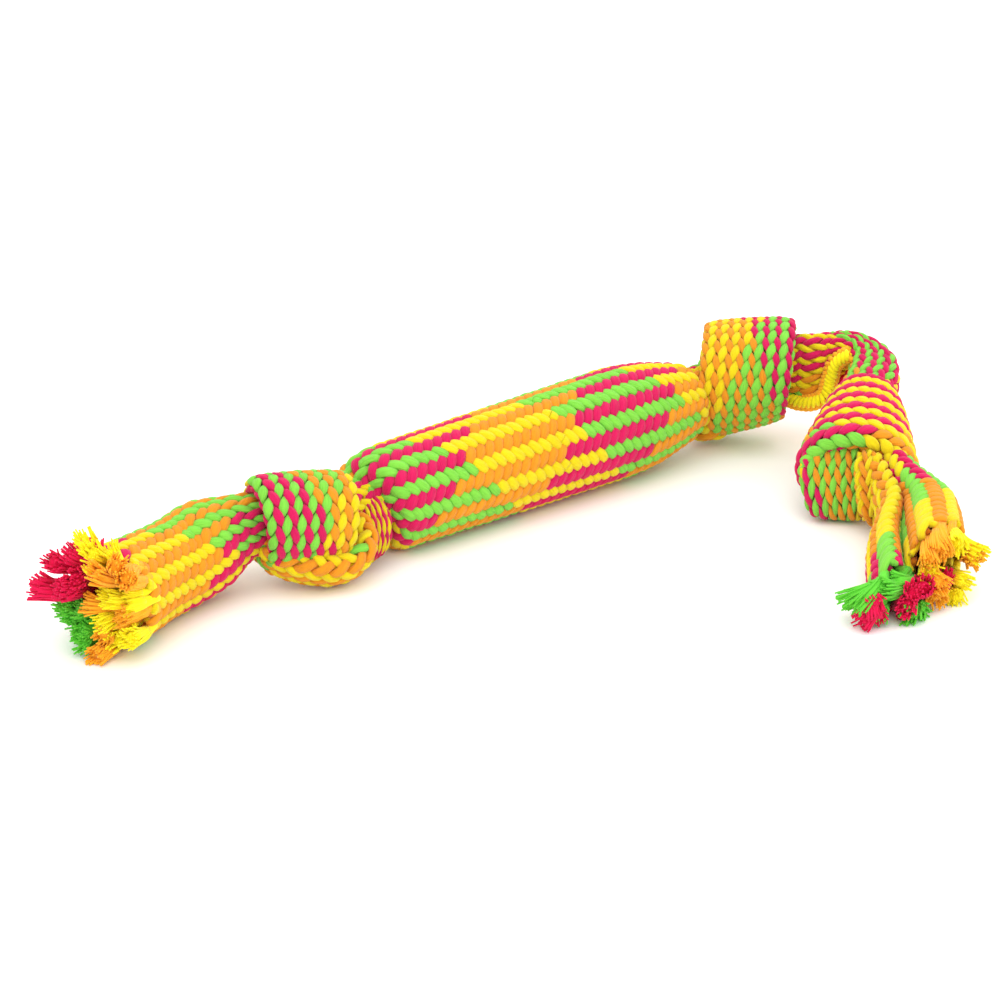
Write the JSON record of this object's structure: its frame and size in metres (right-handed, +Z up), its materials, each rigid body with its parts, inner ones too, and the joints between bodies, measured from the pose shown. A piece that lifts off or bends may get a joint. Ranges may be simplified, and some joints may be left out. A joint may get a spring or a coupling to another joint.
{
  "type": "rope dog toy",
  "caption": "Braided cotton tug toy: a stuffed body between knots, a further knot on a looping arm, frayed tassels at the ends; it bends at the necks and knots.",
  "frame": {"origin": "on the floor, at the flat under the middle of the stuffed body", "axes": "+X along the stuffed body towards the arm with two knots, +Z up from the floor"},
  "size_m": [0.3915, 0.2202, 0.0563],
  "materials": {
    "green_yarn": "matte twisted cotton yarn, lime green",
    "yellow_yarn": "matte twisted cotton yarn, bright yellow",
    "orange_yarn": "matte twisted cotton yarn, orange",
    "magenta_yarn": "matte twisted cotton yarn, hot pink",
    "filling": "packed fibre filling"
  },
  "bodies": {
    "body": {"body_sleeve": "yellow_yarn", "body_core": "filling"},
    "left_neck": {"left_neck": "magenta_yarn"},
    "left_knot": {"left_knot": "green_yarn"},
    "left_tail": {"left_tail": "orange_yarn", "left_tuft_yellow_1": "yellow_yarn", "left_tuft_yellow_2": "yellow_yarn", "left_tuft_yellow_3": "yellow_yarn", "left_tuft_orange_1": "orange_yarn", "left_tuft_orange_2": "orange_yarn", "left_tuft_orange_3": "orange_yarn", "left_tuft_magenta_1": "magenta_yarn", "left_tuft_magenta_2": "magenta_yarn", "left_tuft_magenta_3": "magenta_yarn", "left_tuft_green_1": "green_yarn", "left_tuft_green_2": "green_yarn", "left_tuft_green_3": "green_yarn"},
    "right_neck": {"right_neck": "magenta_yarn"},
    "right_knot": {"right_knot": "green_yarn"},
    "link": {"link": "yellow_yarn"},
    "end_knot": {"end_knot": "magenta_yarn"},
    "right_tail": {"right_tail": "orange_yarn", "right_tuft_green_1": "green_yarn", "right_tuft_green_2": "green_yarn", "right_tuft_green_3": "green_yarn", "right_tuft_magenta_1": "magenta_yarn", "right_tuft_magenta_2": "magenta_yarn", "right_tuft_magenta_3": "magenta_yarn", "right_tuft_yellow_1": "yellow_yarn", "right_tuft_yellow_2": "yellow_yarn", "right_tuft_orange_1": "orange_yarn", "right_tuft_orange_2": "orange_yarn"}
  },
  "joints": [
    {"name": "left_neck_swing", "type": "hinge", "parent": "body", "child": "left_neck", "pos_m": [-0.084, 0, 0.02156], "axis": [0, 0, 1], "range_deg": [-28, 28]},
    {"name": "left_knot_lift", "type": "hinge", "parent": "left_neck", "child": "left_knot", "pos_m": [-0.096, 0, 0.02156], "axis": [0, 1, 0], "range_deg": [-25, 25]},
    {"name": "left_tail_swing", "type": "hinge", "parent": "left_knot", "child": "left_tail", "pos_m": [-0.136, 0.0055, 0.02547], "axis": [0, 0, 1], "range_deg": [-20, 20]},
    {"name": "right_neck_swing", "type": "hinge", "parent": "body", "child": "right_neck", "pos_m": [0.084, 0, 0.02474], "axis": [0, 0, 1], "range_deg": [-8, 28]},
    {"name": "right_knot_lift", "type": "hinge", "parent": "right_neck", "child": "right_knot", "pos_m": [0.097, 0, 0.02474], "axis": [0, 1, 0], "range_deg": [-15, 20]},
    {"name": "link_swing", "type": "hinge", "parent": "right_knot", "child": "link", "pos_m": [0.13316, -0.01904, 0.03211], "axis": [0, 0, 1], "range_deg": [-10, 38]},
    {"name": "end_knot_swing", "type": "hinge", "parent": "link", "child": "end_knot", "pos_m": [0.13216, -0.06404, 0.03411], "axis": [0, 0, 1], "range_deg": [-10, 38]},
    {"name": "right_tail_swing", "type": "hinge", "parent": "end_knot", "child": "right_tail", "pos_m": [0.10016, -0.10525, 0.023], "axis": [0, 0, 1], "range_deg": [-20, 26]}
  ]
}
